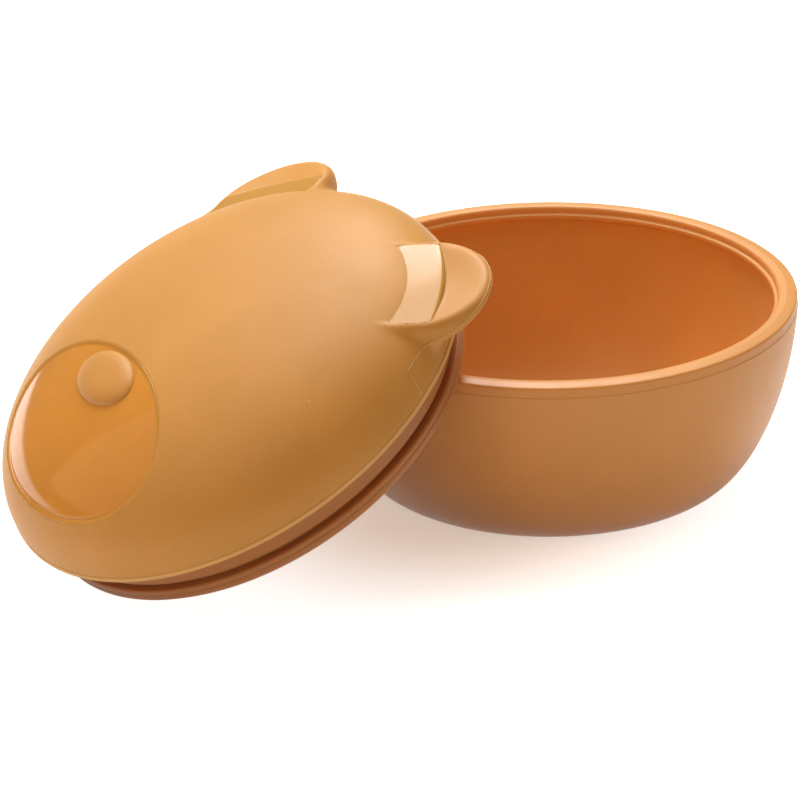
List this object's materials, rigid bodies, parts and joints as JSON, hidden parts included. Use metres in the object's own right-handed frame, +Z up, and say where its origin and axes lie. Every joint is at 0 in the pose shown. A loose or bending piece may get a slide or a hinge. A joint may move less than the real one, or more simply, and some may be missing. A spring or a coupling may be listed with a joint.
{
  "type": "toddler snack container",
  "caption": "Round soft snack bowl with a hollow domed bear-face lid, seal ring and cupped ears; the lid leans on the bowl's rim and lifts off.",
  "frame": {"origin": "centre of the bowl's flat base, on the surface it stands on", "axes": "+Z up; +X from the low edge of the leaning lid towards its high edge, through the bowl's axis"},
  "size_m": [0.1917, 0.115, 0.0746],
  "materials": {
    "matt_ochre": "matt moulded silicone, ochre",
    "gloss_ochre": "polished moulded silicone, ochre",
    "collar_brown": "satin moulded silicone, browner ochre"
  },
  "bodies": {
    "bowl": {"bowl": "matt_ochre"},
    "lid": {"lid_shell": "matt_ochre", "lid_collar": "collar_brown", "seal_ring": "collar_brown", "muzzle_inlay": "gloss_ochre", "nose_button": "matt_ochre", "ear_inlay_left": "gloss_ochre", "ear_inlay_right": "gloss_ochre"}
  },
  "joints": [
    {"name": "lid_lift", "type": "slide", "parent": "bowl", "child": "lid", "axis": [0, 0, 1], "range_m": [0, 0.08]}
  ]
}
